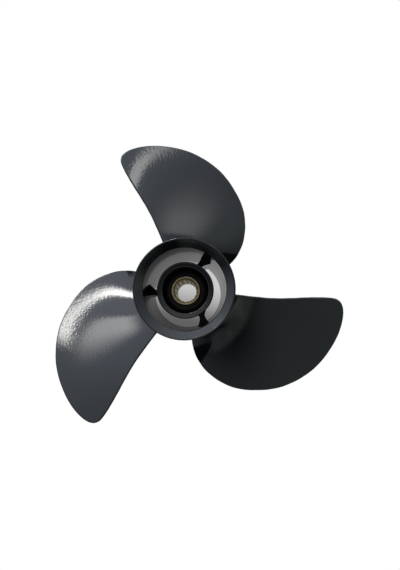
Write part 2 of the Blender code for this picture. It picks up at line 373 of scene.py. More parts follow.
@dataclass(frozen=True)
class HubPaint(SlatePaint):
    """The same paint on barrel and ribs, with painted shade: a dull copy of the coat that mirrors little.

    The painted shade lies in the bore with the exhaust passages, apart from the right side of its mouth,
    which is painted as lit, and on the inner half of the bevel's upper side. Right is towards +X and upper
    towards +Y. Each pair of ends gives where a smooth step starts and where it is done.
    """

    name: str = "slate_paint_with_painted_shade"
    # The copy of the coat that paints shade: a weak mirror, rougher towards one side
    shade_coat_ior: float = 1.14
    shade_coat_azimuth: float = 105.0
    shade_coat_ends: tuple = (-0.005, 0.018)
    shade_coat_roughness: tuple = (0.18, 0.07)
    bore_radius: float = 0.0286
    bore_top: float = 0.0702
    # How much of the painted shade is lifted on the right side of the mouth, which is painted as lit
    mouth_shade_lift: float = 0.8
    mouth_right_ends: tuple = (0.012, 0.024)
    mouth_height_ends: tuple = (0.0635, 0.0695)
    bevel_radius: float = 0.0329
    bevel_azimuth: float = 100.0
    bevel_ends: tuple = (0.006, 0.022)
    bevel_radius_ends: tuple = (0.0326, 0.0302)
    # Painted shade on the bevel's upper side, from its outer edge to its inner edge
    bevel_shade_levels: tuple = (0.35, 0.85)

    def painted_shade(self, tree: ShaderTree, place: Socket) -> Signal:
        """How much painted shade there is, from 0 on the outside to 1 in the bore.

        In the bore it is 1 less the mouth's painted lift, which is a step to the right times a step of the
        height.
        On the bevel it is a step towards its upper side times a step of the radius inwards.

        Args:
            tree: The paint's tree.
            place: The surface point.

        Returns:
            The share of painted shade.
        """
        radius = tree.radius(place)
        height = tree.along(place, UP)
        mouth = tree.range(tree.along(place, RIGHT), *self.mouth_right_ends)
        mouth = mouth * tree.range(height, *self.mouth_height_ends)
        bore = tree.math("LESS_THAN", radius, self.bore_radius)
        bore = bore * tree.math("LESS_THAN", height, self.bore_top)
        upper = tree.range(tree.along(place, direction(self.bevel_azimuth)), *self.bevel_ends)
        bevel = upper * tree.math("GREATER_THAN", height, self.bore_top)
        bevel = bevel * tree.math("LESS_THAN", radius, self.bevel_radius)
        bevel = bevel * tree.range(radius, *self.bevel_radius_ends, *self.bevel_shade_levels)
        # Painted shade in the bore, lifted at the lit right of the mouth, plus painted shade on the bevel's
        # upper side
        return bore * (1.0 - mouth * self.mouth_shade_lift) + bevel

    def build(self) -> Material:
        """Writes the material: the gloss coat, mixed with a dull copy that paints shade and is roughest at
        the lower side.

        Returns:
            The paint.
        """
        material, tree = new_tree(self.name)
        place = tree.place()
        side = tree.along(place, direction(self.shade_coat_azimuth))
        gloss = self.coat(tree, self.ior, self.roughness)
        # A dull copy of the coat that mirrors little, mixed in as painted shade
        shaded_coat = self.coat(tree, self.shade_coat_ior, tree.range(side, *self.shade_coat_ends, *self.shade_coat_roughness))
        tree.show(tree.mix_shader(self.painted_shade(tree, place), gloss, shaded_coat))
        return material


@dataclass(frozen=True)
class BlackRubber:
    """Moulded rubber: near black, dull, with a faint bloom."""

    name: str = "black_rubber"
    deep: tuple = (0.0006, 0.0006, 0.0006, 1.0)
    bloom: tuple = (0.0024, 0.0024, 0.0026, 1.0)
    bloom_size: float = 0.006
    specular: float = 0.15
    roughness: float = 0.30
    grain_size: float = 0.0006
    grain_depth: float = 0.000012
    grain_dullness: float = 0.2

    def build(self) -> Material:
        """Writes the material.

        Returns:
            The rubber.
        """
        material, tree = new_tree(self.name)
        place = tree.place()
        clouds = tree.noise(place, self.bloom_size, detail=3.0, roughness=0.6)
        grain = tree.noise(place, self.grain_size)
        shader = tree.principled(
            {
                "Base Color": tree.mix_color(clouds, self.deep, self.bloom),
                "Roughness": grain * self.grain_dullness + (self.roughness - 0.5 * self.grain_dullness),
                "Specular IOR Level": self.specular,
                "Normal": tree.bump(grain, self.grain_depth),
            }
        )
        tree.show(shader)
        return material


@dataclass(frozen=True)
class DullBrass:
    """Broached brass, dulled to an olive brown, streaked along the shaft and worn bright on the crests."""

    name: str = "dull_brass"
    dark: tuple = (0.17, 0.135, 0.070, 1.0)
    bright: tuple = (0.36, 0.29, 0.16, 1.0)
    worn: tuple = (0.95, 0.87, 0.68, 1.0)
    worn_radii: tuple = (0.0082, 0.0079)
    metallic: float = 0.75
    roughness: float = 0.42
    streak_width: float = 0.0005
    streak_length: float = 0.012
    streak_depth: float = 0.00001
    streak_share: float = 0.6
    tarnish_size: float = 0.003
    tarnish_range: tuple = (0.35, 0.65)
    tarnish_dullness: float = 0.2

    def build(self) -> Material:
        """Writes the material.

        Returns:
            The brass.
        """
        material, tree = new_tree(self.name)
        place = tree.place()
        drawn_out = tree.stretched(place, (1.0, 1.0, self.streak_width / self.streak_length))
        streaks = tree.noise(drawn_out, self.streak_width, roughness=0.6)
        tarnish = tree.noise(place, self.tarnish_size, detail=3.0, roughness=0.6)
        clean = streaks * self.streak_share + tarnish * (1.0 - self.streak_share)
        dull = tree.mix_color(tree.range(clean, *self.tarnish_range), self.dark, self.bright)
        crest = tree.range(tree.radius(place), *self.worn_radii)
        shader = tree.principled(
            {
                "Base Color": tree.mix_color(crest, dull, self.worn),
                "Metallic": self.metallic,
                "Roughness": self.roughness + tarnish * self.tarnish_dullness,
                "Normal": tree.bump(streaks, self.streak_depth),
            }
        )
        tree.show(shader)
        return material


@dataclass(frozen=True)
class WhiteTable:
    """A table, white to the camera and dim in reflections.

    Inside the hub it glows with painted light, bright on one side and fading to painted shadow on the other.
    """

    name: str = "white_table"
    mirrored_gray: float = 0.06
    # Inside this radius the table glows with painted light, from a low level to a high one along one azimuth
    hub_radius: float = 0.0302
    hub_azimuth: float = 80.0
    hub_ends: tuple = (-0.026, 0.014)
    hub_painted_light_levels: tuple = (0.12, 0.60)

    def build(self) -> Material:
        """Writes the material.

        Returns:
            The table's white.
        """
        material, tree = new_tree(self.name)
        place = tree.place()
        in_hub = tree.math("LESS_THAN", tree.radius(place), self.hub_radius)
        # Painted light and shadow on the table inside the hub: a glow that fades from one side to the other
        painted_light = tree.range(tree.along(place, direction(self.hub_azimuth)), *self.hub_ends, *self.hub_painted_light_levels)
        lit = tree.node("ShaderNodeEmission", None, {"Color": in_hub * painted_light + (1.0 - in_hub)})
        dim = tree.node("ShaderNodeBsdfDiffuse", None, {"Color": gray(self.mirrored_gray)})
        share = tree.math("MAXIMUM", in_hub, tree.seen())
        tree.show(tree.mix_shader(share, dim.outputs[0], lit.outputs[0]))
        return material


def smooth_step(share: np.ndarray) -> np.ndarray:
    """Carries 0 to 1 onto itself with level ends: three times the square less twice the cube."""
    return share**2 * (3.0 - 2.0 * share)


def angles_round(columns: int) -> np.ndarray:
    """The angles of a grid's columns, evenly round the shaft axis."""
    return FULL_TURN * np.arange(columns) / columns


def ring_quads(rows: int, columns: int) -> np.ndarray:
    """The four corners of each face of a grid whose columns close into a ring.

    Row i and column j join their next row and next column, and the last column joins the first.

    Args:
        rows: How many rows of points there are.
        columns: How many points each row has.

    Returns:
        An array of faces by 4.
    """
    row, column = np.meshgrid(np.arange(rows - 1), np.arange(columns), indexing="ij")
    after = (column + 1) % columns
    low = row * columns
    high = low + columns
    return np.stack([low + column, low + after, high + after, high + column], axis=-1).reshape(-1, 4)


def fan(ring: np.ndarray, pole: int, outward: bool) -> np.ndarray:
    """Triangles that close a ring of points at one pole.

    Args:
        ring: The ring's point numbers in order.
        pole: The pole's point number.
        outward: Whether the fan keeps the ring's order, or turns it round.

    Returns:
        An array of triangles, each with its last corner doubled, to go with the quads.
    """
    after = np.roll(ring, -1)
    ends = np.full_like(ring, pole)
    first, second = (ring, after) if outward else (after, ring)
    return np.stack([first, second, ends, ends], axis=-1)


@dataclass
class Surface:
    """Points and faces of one closed surface. A face whose third and fourth corners agree is a triangle."""

    points: np.ndarray
    faces: np.ndarray

    def turned(self, angle: float) -> "Surface":
        """The surface turned about the shaft axis.

        Args:
            angle: The angle in radians.

        Returns:
            The turned surface.
        """
        cos, sin = math.cos(angle), math.sin(angle)
        turn = np.array([[cos, sin, 0.0], [-sin, cos, 0.0], [0.0, 0.0, 1.0]])
        return Surface(self.points @ turn, self.faces)

    def repeated(self, name: str, count: int, start: float = 0.0) -> dict[str, "Surface"]:
        """Copies of the surface, evenly round the shaft axis.

        Args:
            name: The copies' name, to which each adds its number.
            count: How many there are.
            start: The first one's angle in radians.

        Returns:
            Each copy by its name.
        """
        angles = [start + FULL_TURN * number / count for number in range(count)]
        return {f"{name}_{number}": self.turned(angle) for number, angle in enumerate(angles, 1)}

    def outward(self) -> "Surface":
        """The surface with its faces turned out, told by the sign of the volume that they enclose.

        Returns:
            The surface, with the order of each face's corners reversed if the volume was negative.
        """
        a, b, c, d = (self.points[self.faces[:, corner]] for corner in range(4))
        volume = np.einsum("ij,ij->", a, np.cross(b, c)) + np.einsum("ij,ij->", a, np.cross(c, d))
        if volume >= 0.0:
            return self
        return Surface(self.points, self.faces[:, ::-1])

    def to_object(self, name: str, finish: Material) -> bpy.types.Object:
        """Puts the surface into the scene as a smooth mesh.

        Args:
            name: The object's name.
            finish: Its material.

        Returns:
            The new object, at the origin.
        """
        triangle = self.faces[:, 2] == self.faces[:, 3]
        keep = np.ones(self.faces.shape, bool)
        keep[triangle, 3] = False
        corners = self.faces[keep].astype(np.int32)
        totals = np.where(triangle, 3, 4).astype(np.int32)
        starts = np.concatenate([[0], np.cumsum(totals)[:-1]]).astype(np.int32)
        mesh = bpy.data.meshes.new(name)
        mesh.vertices.add(len(self.points))
        mesh.vertices.foreach_set("co", self.points.astype(np.float32).ravel())
        mesh.loops.add(len(corners))
        mesh.loops.foreach_set("vertex_index", corners)
        mesh.polygons.add(len(totals))
        mesh.polygons.foreach_set("loop_start", starts)
        mesh.update(calc_edges=True)
        mesh.validate()
        mesh.shade_smooth()
        mesh.materials.append(finish)
        made = bpy.data.objects.new(name, mesh)
        bpy.context.scene.collection.objects.link(made)
        return made


class SubAssembly:
    """A part of the propeller that is built from its sizes and dressed in one finish."""

    slot: ClassVar[Slot] = Slot.PAINT
    node: ClassVar[Node] = Node.CASTING

    def surfaces(self) -> dict[str, Surface]:
        """The shape of each piece by its name."""
        raise NotImplementedError

    def build(self, finish: Material) -> None:
        """Builds the pieces and seats each on the body, in the place of its solid.

        Args:
            finish: Their material.
        """
        for name, surface in self.surfaces().items():
            piece = surface.to_object(name, finish)
            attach(piece, BODY)
            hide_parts(self.node.value)
            log.info("%s: %d faces", piece.name, len(piece.data.polygons))


def rounded(corners: list[tuple[float, float, float]], steps: int) -> np.ndarray:
    """A closed outline whose corners are rounded by arcs.

    Each arc touches both sides of its corner at radius / tan(half the corner's angle), and its points
    are blended on the circle between the two touching points. One more point on each side of the arc
    lets the flat beside it keep its own shading.

    Args:
        corners: For each sharp corner its two coordinates and the radius of its arc.
        steps: How many steps each arc has.

    Returns:
        The rounded outline, points by 2, with three points more at each corner than its arc has steps.
    """
    table = np.array(corners)
    corner, radii = table[:, :2], table[:, 2:]
    before = np.roll(corner, 1, axis=0) - corner
    after = np.roll(corner, -1, axis=0) - corner
    before /= np.linalg.norm(before, axis=1, keepdims=True)
    after /= np.linalg.norm(after, axis=1, keepdims=True)
    middle = before + after
    middle /= np.linalg.norm(middle, axis=1, keepdims=True)
    half = 0.5 * np.arccos(np.clip((before * after).sum(axis=1, keepdims=True), -1.0, 1.0))
    touch = radii / np.tan(half)
    center = corner + middle * (radii / np.sin(half))
    first = corner + before * touch - center
    last = corner + after * touch - center
    sweep = math.pi - 2.0 * half
    share = np.linspace(0.0, 1.0, steps + 1)[None, :]
    leaving = (np.sin((1.0 - share) * sweep) / np.sin(sweep))[..., None]
    coming = (np.sin(share * sweep) / np.sin(sweep))[..., None]
    arcs = center[:, None] + leaving * first[:, None] + coming * last[:, None]
    guard = SUPPORT_SHARE * radii
    entry = corner + before * (touch + guard)
    leave = corner + after * (touch + guard)
    return np.concatenate([entry[:, None], arcs, leave[:, None]], axis=1).reshape(-1, 2)


def ringed(radius: np.ndarray, height: np.ndarray) -> Surface:
    """A surface of rings round the shaft axis, of which the last joins the first.

    Point (i, j) is (radius times cos of angle j, radius times sin of angle j, height of ring i).

    Args:
        radius: The radius of each point, rings by columns.
        height: The height of each ring, rings by 1.

    Returns:
        A closed surface.
    """
    rings, columns = radius.shape
    angle = angles_round(columns)
    grid = np.stack(np.broadcast_arrays(radius * np.cos(angle), radius * np.sin(angle), height), axis=-1)
    faces = ring_quads(rings + 1, columns) % (rings * columns)
    return Surface(grid.reshape(-1, 3), faces).outward()


def revolved(profile: np.ndarray, columns: int) -> Surface:
    """A closed profile carried once round the shaft axis.

    Args:
        profile: Radius and height of each point.
        columns: How many steps there are round the axis.

    Returns:
        A closed ring of a surface.
    """
    radius, height = np.hsplit(profile, 2)
    return ringed(np.repeat(radius, columns, axis=1), height)


def lofted(sections: np.ndarray) -> Surface:
    """A tube of sections, closed by a fan at each end.

    Args:
        sections: The sections' points, sections by points by 3.

    Returns:
        A closed surface.
    """
    rows, columns, _ = sections.shape
    ends = np.stack([sections[0].mean(axis=0), sections[-1].mean(axis=0)])
    points = np.concatenate([sections.reshape(-1, 3), ends])
    ring = np.arange(columns)
    first_fan = fan(ring, rows * columns, False)
    last_fan = fan(ring + (rows - 1) * columns, rows * columns + 1, True)
    return Surface(points, np.concatenate([ring_quads(rows, columns), first_fan, last_fan])).outward()


@dataclass
class Barrel(SubAssembly):
    """The outer tube: a drafted outside that flares into the aft ring, and a wide bevel at the mouth."""

    length: float
    front_radius: float = 0.0308
    radius: float = 0.0315
    bore_radius: float = 0.0281
    front_bore_radius: float = 0.0290
    front_bore_depth: float = 0.012
    ring_radius: float = 0.03405
    mouth_radius: float = 0.0329
    bevel_depth: float = 0.0039
    ledge: float = 0.0005
    flare_length: float = 0.016
    flare_power: float = 1.5
    edge_round: float = 0.0008
    # Where the flare stops and the rim's upright wall starts, in edge roundings below the aft face
    flare_stop: float = 2.5
    rim_start: float = 2.0
    columns: int = 360
    arc_steps: int = 6
    flare_steps: int = 24

    def outside_radius(self, height: np.ndarray) -> np.ndarray:
        """The barrel's outer radius.

        A straight draft to the foot of the flare, then a power of the sine of the share of the flare.

        Args:
            height: Distances aft of the front face.

        Returns:
            The radius at each height.
        """
        flare_start = self.length - self.flare_length
        flare_end = self.length - self.edge_round
        draft = self.front_radius + (self.radius - self.front_radius) * height / flare_start
        share = np.clip((height - flare_start) / (flare_end - flare_start), 0.0, 1.0)
        flare = (self.ring_radius - self.radius) * np.sin(share * math.pi / 2.0) ** self.flare_power
        return np.where(height < flare_start, draft, self.radius + flare)

    def profile(self) -> np.ndarray:
        """The wall's rounded profile. The flare's curve takes the place of the third and fourth corners.

        Returns:
            Radius and height of each point, from the front bore round by the outside to the mouth.
        """
        aft = self.length
        edge = self.edge_round
        flare_start = aft - self.flare_length
        bevel_end = aft - self.bevel_depth
        step = self.front_bore_radius - self.bore_radius
        corners = [
            (self.front_bore_radius, 0.0, 0.3 * edge),
            (self.front_radius, 0.0, edge),
            (self.radius, flare_start, edge),
            (self.ring_radius, aft - self.rim_start * edge, edge),
            (self.ring_radius, aft, 0.7 * edge),
            (self.mouth_radius, aft, 0.25 * edge),
            (self.bore_radius + self.ledge, bevel_end, 0.3 * edge),
            (self.bore_radius, bevel_end - self.ledge, 0.3 * edge),
            (self.bore_radius, self.front_bore_depth + step, 0.5 * edge),
            (self.front_bore_radius, self.front_bore_depth, 0.5 * edge),
        ]
        outline = rounded(corners, self.arc_steps)
        per_corner = self.arc_steps + 3
        heights = np.linspace(flare_start, aft - self.flare_stop * edge, self.flare_steps)
        flare = np.stack([self.outside_radius(heights), heights], axis=1)
        return np.concatenate([outline[: 2 * per_corner], flare, outline[4 * per_corner :]])

    def surfaces(self) -> dict[str, Surface]:
        """The profile carried round the shaft axis."""
        return {"hub_barrel": revolved(self.profile(), self.columns)}


@dataclass
class Boss(SubAssembly):
    """The inner tube that holds the bush, with a lip at its front."""

    barrel: Barrel
    radius: float = 0.0203
    bore_radius: float = 0.0165
    lip_radius: float = 0.0145
    lip_length: float = 0.005
    front: float = 0.013
    aft_inset: float = 0.0158
    rim_round: float = 0.0009
    bore_round: float = 0.0005
    columns: int = 288
    arc_steps: int = 6

    def surfaces(self) -> dict[str, Surface]:
        """A rounded profile carried round the shaft axis.

        Returns:
            The boss by its name.
        """
        aft = self.barrel.length - self.aft_inset
        lip = self.front + self.lip_length
        corners = [
            (self.lip_radius, self.front, self.bore_round),
            (self.radius, self.front, self.rim_round),
            (self.radius, aft, self.rim_round),
            (self.bore_radius, aft, self.bore_round),
            (self.bore_radius, lip, 0.4 * self.bore_round),
            (self.lip_radius, lip, self.bore_round),
        ]
        return {"inner_boss": revolved(rounded(corners, self.arc_steps), self.columns)}


@dataclass
class Ribs(SubAssembly):
    """Three ribs between boss and barrel, whose centre lines lean back from the radius as they go out."""

    barrel: Barrel
    boss: Boss
    angle: float = 60.0
    front: float = 0.016
    aft_inset: float = 0.031
    centre_radius: float = 0.0248
    lean: float = 0.45
    waist_half_width: float = 0.0022
    waist_radius: float = 0.0228
    boss_half_width: float = 0.0034
    barrel_half_width: float = 0.0047
    flare_power: float = 1.5
    edge_round: float = 0.0009
    rows: int = 48
    arc_steps: int = 6
    count: int = 3

    def half_width(self, radius: np.ndarray) -> np.ndarray:
        """Half the rib's width: least at the waist, with a square law to the boss and a power law outwards.

        Args:
            radius: Distances from the shaft axis.

        Returns:
            The half width at each radius.
        """
        to_boss = self.waist_radius - self.boss.radius
        to_barrel = self.barrel.bore_radius - self.waist_radius
        inner = np.clip((self.waist_radius - radius) / to_boss, 0.0, 1.0)
        outer = np.clip((radius - self.waist_radius) / to_barrel, 0.0, 1.0)
        at_boss = (self.boss_half_width - self.waist_half_width) * inner**2
        at_barrel = (self.barrel_half_width - self.waist_half_width) * outer**self.flare_power
        return self.waist_half_width + at_boss + at_barrel

    def rib(self) -> Surface:
        """One rib along +X, a rounded oblong section carried from the boss's wall to the barrel's.

        The section is a square with arcs of radius 1 at its corners. Each corner is taken out to the rib's
        half width and half height, and its arc is scaled to the edge's rounding.

        Returns:
            The closed rib.
        """
        inner = 0.5 * (self.boss.radius + self.boss.bore_radius)
        outer = 0.5 * (self.barrel.radius + self.barrel.bore_radius)
        radius = np.linspace(inner, outer, self.rows)
        width = self.half_width(radius)
        centre = self.lean * (self.centre_radius - radius)
        aft = self.barrel.length - self.aft_inset
        middle = 0.5 * (self.front + aft)
        square = [(2.0, -2.0, 1.0), (2.0, 2.0, 1.0), (-2.0, 2.0, 1.0), (-2.0, -2.0, 1.0)]
        section = rounded(square, self.arc_steps)
        side = np.sign(section)
        bend = (section - side) * self.edge_round
        across = side[None, :, 0] * (width[:, None] - self.edge_round) + bend[None, :, 0]
        upright = side[:, 1] * (aft - middle - self.edge_round) + bend[:, 1]
        grid = np.broadcast_arrays(radius[:, None], centre[:, None] + across, middle + upright[None, :])
        return lofted(np.stack(grid, axis=-1))

    def surfaces(self) -> dict[str, Surface]:
        """The ribs, evenly round the shaft axis."""
        return self.rib().repeated("hub_rib", self.count, math.radians(self.angle))


@dataclass
class Blades(SubAssembly):
    """Three skewed blades whose aft face is a true helicoid, with rounded edges and a root fillet."""

    barrel: Barrel
    tip_radius: float = 0.11738
    pitch: float = 0.2032
    helix_angle: float = 75.0
    helix_height: float = 0.0306
    root_thickness: float = 0.0078
    tip_thickness: float = 0.0026
    fullness: float = 0.75
    edge_radius: float = 0.0009
    fillet_radius: float = 0.0075
    fillet_edge_share: float = 0.35
    # How high the root is fitted to the barrel, in fillet radii
    seat_reach: float = 1.6
    edge_trim: float = 0.00017
    sink: float = 0.0012
    count: int = 3
    outline_rows: int = 500
    tip_rows: int = 14
    span_rows: int = 84
    fillet_rows: int = 18
    edge_columns: int = 9
    chord_columns: int = 72
    # The most of a short chord that each edge's arc may take
    edge_chord_share: float = 0.25
    # Offset table of the outline: radius in mm, leading edge and trailing edge in degrees
    stations: tuple = (
        (31.5, 33.8, 114.6),
        (48.0, 35.4, 114.5),
        (62.0, 40.7, 114.7),
        (75.0, 48.3, 115.6),
        (86.0, 56.2, 116.5),
        (96.0, 65.8, 117.0),
        (104.0, 74.1, 117.1),
        (110.0, 82.6, 116.7),
        (114.0, 90.2, 115.1),
        (116.22, 97.7, 112.4),
        (117.5, 106.3, 106.3),
    )

    @property
    def lead(self) -> float:
        """How far aft the helix climbs for one radian."""
        return self.pitch / FULL_TURN

    @property
    def span(self) -> float:
        """How far the tip stands out from the barrel."""
        return self.tip_radius - self.barrel.radius

    @staticmethod
    def smooth_through(at: np.ndarray, known: np.ndarray, values: np.ndarray) -> np.ndarray:
        """A cubic through each known value, with the slope there of the parabola through its neighbours.

        Args:
            at: Where the curve is read.
            known: The places of the known values, rising.
            values: The known values.

        Returns:
            The curve's values.
        """
        slopes = np.gradient(values, known)
        left = np.clip(np.searchsorted(known, at, side="right") - 1, 0, len(known) - 2)
        width = known[left + 1] - known[left]
        share = (at - known[left]) / width
        rise = smooth_step(share)
        return (
            values[left] * (1.0 - rise)
            + values[left + 1] * rise
            + slopes[left] * width * share * (1.0 - share) ** 2
            - slopes[left + 1] * width * share**2 * (1.0 - share)
        )

    @staticmethod
    def distance_to(line: np.ndarray, points: np.ndarray) -> np.ndarray:
        """The distance from each point to the nearest of a line's points, from the squares of their lengths.

        Args:
            line: The line's points.
            points: A grid of points.

        Returns:
            The grid of distances.
        """
        flat = points.reshape(-1, 3)
        square = (flat**2).sum(axis=1)[:, None] + (line**2).sum(axis=1)[None, :] - 2.0 * flat @ line.T
        return np.sqrt(np.clip(square, 0.0, None).min(axis=1)).reshape(points.shape[:-1])

    def radius_at(self, reach: np.ndarray) -> np.ndarray:
        """The radius at a reach from 0 at the tip to 1 at the barrel: it falls by the reach's square."""
        return self.tip_radius - self.span * reach**2

    def fillet_growth(self, height: np.ndarray) -> np.ndarray:
        """How far the root fillet stands out from the blade: a quarter circle down to the barrel.

        Args:
            height: Distances above the barrel.

        Returns:
            The growth, from nothing at one fillet radius up to the whole radius at the barrel.
        """
        share = 1.0 - np.clip(height / self.fillet_radius, 0.0, 1.0)
        return self.fillet_radius * (1.0 - np.sqrt(1.0 - share**2))

    def edges(self, reach: np.ndarray) -> tuple[np.ndarray, np.ndarray]:
        """The leading and trailing edge's angles, drawn in by the trim, with the root fillet run out.

        Both run along the helix, so a length there is divided by the slant of the helix to make an angle.

        Args:
            reach: Where along the span the edges are read.

        Returns:
            The two angles in radians.
        """
        table = np.array(self.stations[::-1])
        below_tip = np.clip(self.tip_radius - table[:, 0] * MILLIMETRE, 0.0, None)
        known = np.sqrt(below_tip / self.span)
        radius = self.radius_at(reach)
        growth = self.fillet_edge_share * self.fillet_growth(radius - self.barrel.radius)
        run_out = (growth - self.edge_trim) / np.hypot(radius, self.lead)
        leading = np.radians(self.smooth_through(reach, known, table[:, 1])) - run_out
        trailing = np.radians(self.smooth_through(reach, known, table[:, 2])) + run_out
        return leading, trailing

    def helicoid(self, radius: np.ndarray, angle: np.ndarray) -> tuple[np.ndarray, np.ndarray]:
        """Points of the aft face, which turn by their angle and climb by the lead for each radian.

        Args:
            radius: Distances from the shaft axis.
            angle: Angles round it, in radians.

        Returns:
            The points, and the unit normals that point aft.
        """
        height = self.helix_height + self.lead * (angle - math.radians(self.helix_angle))
        points = np.stack([radius * np.cos(angle), radius * np.sin(angle), height], axis=-1)
        slant = np.hypot(radius, self.lead)
        normals = np.stack([self.lead * np.sin(angle), -self.lead * np.cos(angle), radius], axis=-1)
        return points, normals / slant[..., None]

    def outline(self) -> np.ndarray:
        """Points close together along the whole outline.

        Returns:
            Points from the leading edge's root over the tip to the trailing edge's root.
        """
        reach = np.linspace(1.0, 0.0, self.outline_rows)
        leading, trailing = self.edges(reach)
        angles = np.concatenate([leading, trailing[::-1]])
        radii = np.concatenate([self.radius_at(reach), self.radius_at(reach)[::-1]])
        return self.helicoid(radii, angles)[0]

    def reaches(self) -> np.ndarray:
        """The rows' places along the span, crowded at the tip and evenly round the root fillet's arc.

        Returns:
            Reaches from the barrel to just below the tip.
        """
        fillet_top = math.sqrt((self.span - self.fillet_radius) / self.span)
        tip_end = math.sqrt(self.edge_radius / self.span)
        arc = np.linspace(math.pi / 2.0, 0.0, self.fillet_rows + 1)
        heights = self.fillet_radius * (1.0 - np.sin(arc))
        in_fillet = np.sqrt((self.span - heights) / self.span)
        along = np.linspace(fillet_top, tip_end, self.span_rows)[1:]
        at_tip = np.linspace(tip_end, 0.0, self.tip_rows + 1)[1:-1]
        return np.concatenate([in_fillet, along, at_tip])

    def shares(self, chord: np.ndarray) -> np.ndarray:
        """The columns' places across each chord: evenly round each edge's arc, then by cosine between.

        Args:
            chord: The length of each row's chord.

        Returns:
            Shares from 0 to 1, rows by columns.
        """
        arc = np.linspace(0.0, math.pi / 2.0, self.edge_columns + 1)
        arc_share = np.minimum(self.edge_radius / chord, self.edge_chord_share)
        near = (1.0 - np.cos(arc))[None, :] * arc_share[:, None]
        middle = 0.5 - 0.5 * np.cos(np.linspace(0.0, math.pi, self.chord_columns))
        inner = near[:, -1:] + (1.0 - 2.0 * near[:, -1:]) * middle[None, 1:-1]
        return np.concatenate([near, inner, 1.0 - near[:, ::-1]], axis=1)

    def offsets(
        self, share: np.ndarray, height: np.ndarray, inset: np.ndarray
    ) -> tuple[np.ndarray, np.ndarray]:
        """How far aft of the helicoid the blade's two faces lie, along its normals.

        The forward face lies under the aft one by a thickness that rises with (4 s (1 - s)) to the power
        of the fullness across the chord. Both close on the outline in a half circle of the edge radius,
        told by each point's distance to the outline, and stand out by the fillet's quarter circle.

        Args:
            share: The points' places s across their chord.
            height: The rows' distances above the barrel, rows by 1.
            inset: The points' distances to the outline.

        Returns:
            The aft and the forward face's offsets.
        """
        belly = (4.0 * share * (1.0 - share)) ** self.fullness
        grown = self.fillet_edge_share + (1.0 - self.fillet_edge_share) * belly
        fillet = self.fillet_growth(height) * grown
        most = self.root_thickness + (self.tip_thickness - self.root_thickness) * (height / self.span)
        least = 2.0 * self.edge_radius
        thickness = least + (most - least) * belly + 2.0 * fillet
        edge = self.edge_radius + fillet
        full = np.sqrt(1.0 - (1.0 - np.clip(inset / edge, 0.0, 1.0)) ** 2)
        full[:, [0, -1]] = 0.0
        return fillet - edge * (1.0 - full), fillet - edge - (thickness - edge) * full

    def seated(self, points: np.ndarray, radius: np.ndarray) -> np.ndarray:
        """Brings the root fillet down onto the barrel.

        An offset along the blade's normal moves a point off its cylinder, and the barrel is drafted.
        Both are taken back in full at the barrel, and less and less up to the end of the seat's reach.

        Args:
            points: The offset points.
            radius: The radius that each point's row has.

        Returns:
            The points with their radius corrected.
        """
        height = radius - self.barrel.radius
        weight = smooth_step(np.clip(1.0 - height / (self.seat_reach * self.fillet_radius), 0.0, 1.0))
        wanted = self.barrel.outside_radius(points[..., 2]) + height
        now = np.hypot(points[..., 0], points[..., 1])
        scale = 1.0 + weight * (wanted / now - 1.0)
        return points * np.stack([scale, scale, np.ones_like(scale)], axis=-1)

    def blade(self) -> Surface:
        """One blade: both faces as rows of closed sections, with a root sunk into the barrel and a tip.

        Returns:
            The closed blade.
        """
        reach = self.reaches()
        radius = self.radius_at(reach)
        leading, trailing = self.edges(reach)
        share = self.shares((trailing - leading) * np.hypot(radius, self.lead))
        angle = leading[:, None] + (trailing - leading)[:, None] * share
        spread = np.broadcast_to(radius[:, None], angle.shape)
        points, normals = self.helicoid(spread, angle)
        height = radius[:, None] - self.barrel.radius
        aft, forward = self.offsets(share, height, self.distance_to(self.outline(), points))
        aft_face = self.seated(points + normals * aft[..., None], spread)
        forward_face = self.seated(points + normals * forward[..., None], spread)
        sections = np.concatenate([aft_face, forward_face[:, -2:0:-1]], axis=1)
        root = sections[:1].copy()
        root[..., :2] *= 1.0 - self.sink / self.barrel.radius
        surface = lofted(np.concatenate([root, sections]))
        tip_angle = np.array(self.edges(np.array(0.0))[0])
        tip, normal = self.helicoid(np.array(self.tip_radius), tip_angle)
        surface.points[-1] = tip - normal * self.edge_radius
        return surface

    def surfaces(self) -> dict[str, Surface]:
        """The blades, evenly round the shaft axis."""
        return self.blade().repeated("blade", self.count)


@dataclass
class Bush(SubAssembly):
    """The rubber bush in the boss, with a raised collar round the sleeve."""

    bore_radius: float = 0.01029
    collar_radius: float = 0.0146
    collar_height: float = 0.0035
    edge_round: float = 0.0008
    columns: int = 240
    arc_steps: int = 6
    slot: ClassVar[Slot] = Slot.RUBBER
    node: ClassVar[Node] = Node.BUSH

    def surfaces(self) -> dict[str, Surface]:
        """A rounded profile in the solid's place, carried round the shaft axis.

        Returns:
            The bush by its name.
        """
        low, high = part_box(self.node.value)
        top = high.z - self.collar_height
        edge = self.edge_round
        corners = [
            (self.bore_radius, low.z, 0.4 * edge),
            (high.x, low.z, edge),
            (high.x, top, edge),
            (self.collar_radius, top, 0.6 * edge),
            (self.collar_radius, high.z, edge),
            (self.bore_radius, high.z, 0.6 * edge),
        ]
        return {"bush_with_collar": revolved(rounded(corners, self.arc_steps), self.columns)}


